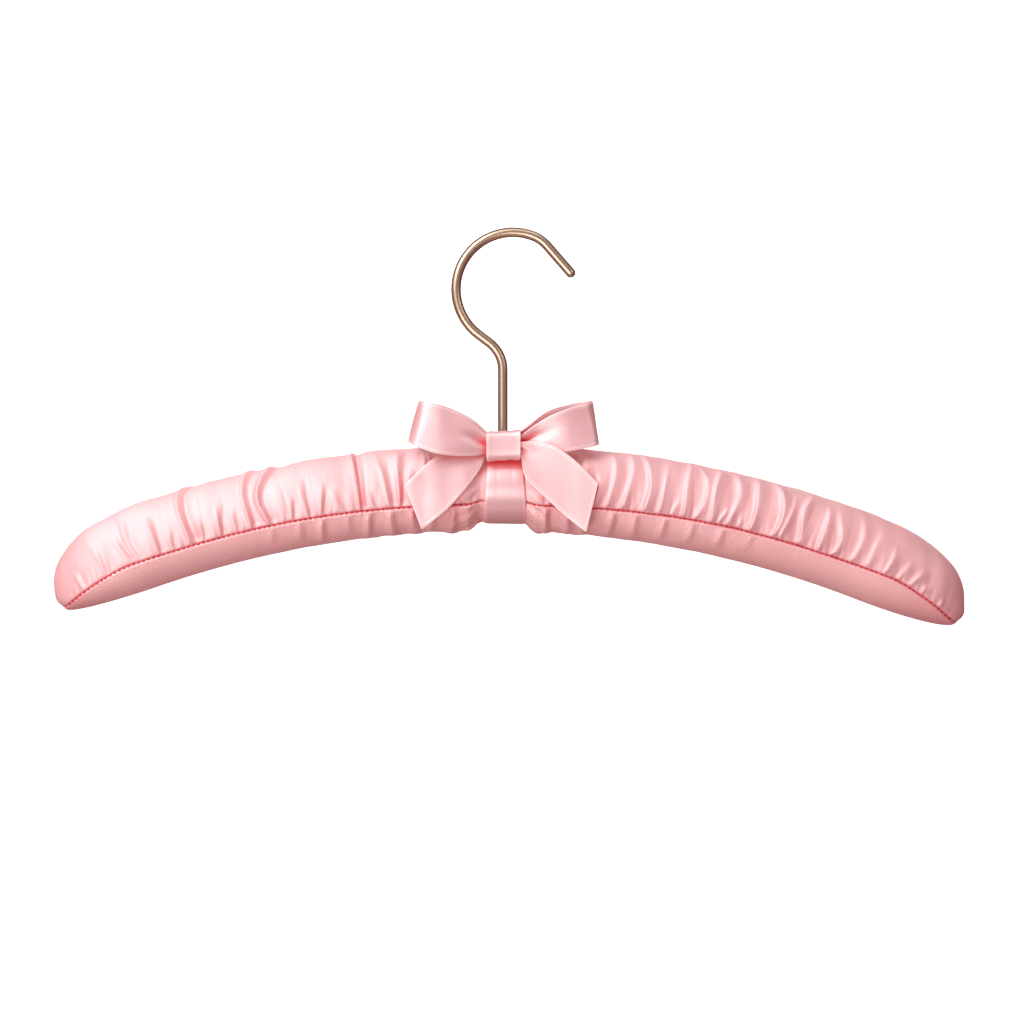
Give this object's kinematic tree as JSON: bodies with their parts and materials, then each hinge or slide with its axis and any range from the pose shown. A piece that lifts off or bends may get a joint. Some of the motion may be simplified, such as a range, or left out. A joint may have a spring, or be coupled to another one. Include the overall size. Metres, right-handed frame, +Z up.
{
  "type": "padded clothes hanger",
  "caption": "Padded satin clothes hanger with a curved bar, gathered cover, ribbon bow at the middle and a swivelling wire hook",
  "frame": {"origin": "underside of the hook's crown, where a rail touches it", "axes": "+X along the arms, +Y to the back, away from the bow, +Z up"},
  "size_m": [0.3989, 0.0376, 0.1745],
  "materials": {
    "hook_wire": "satin champagne plating",
    "washer_steel": "plain zinc plate",
    "core_wood": "bare sanded beech",
    "batting": "soft polyester batting",
    "cover_satin": "pink satin with a soft sheen",
    "ribbon_satin": "pink satin ribbon with woven edges",
    "seam_thread": "dark red sewing thread"
  },
  "bodies": {
    "hook": {"hook": "hook_wire"},
    "hanger": {"upper_washer": "washer_steel", "lower_washer": "washer_steel", "left_core_arm": "core_wood", "right_core_arm": "core_wood", "left_padding": "batting", "right_padding": "batting", "left_top_cover": "cover_satin", "right_top_cover": "cover_satin", "left_under_cover": "cover_satin", "right_under_cover": "cover_satin", "left_front_seam": "seam_thread", "left_back_seam": "seam_thread", "right_front_seam": "seam_thread", "right_back_seam": "seam_thread", "centre_band": "ribbon_satin", "bow_knot": "ribbon_satin", "left_bow_loop": "ribbon_satin", "right_bow_loop": "ribbon_satin", "left_bow_tail": "ribbon_satin", "right_bow_tail": "ribbon_satin", "bow_tack": "seam_thread"}
  },
  "joints": [
    {"name": "hook_swivel", "type": "hinge", "parent": "hook", "child": "hanger", "pos_m": [-0.0045, 0, -0.11], "axis": [0, 0, 1], "continuous": true}
  ]
}
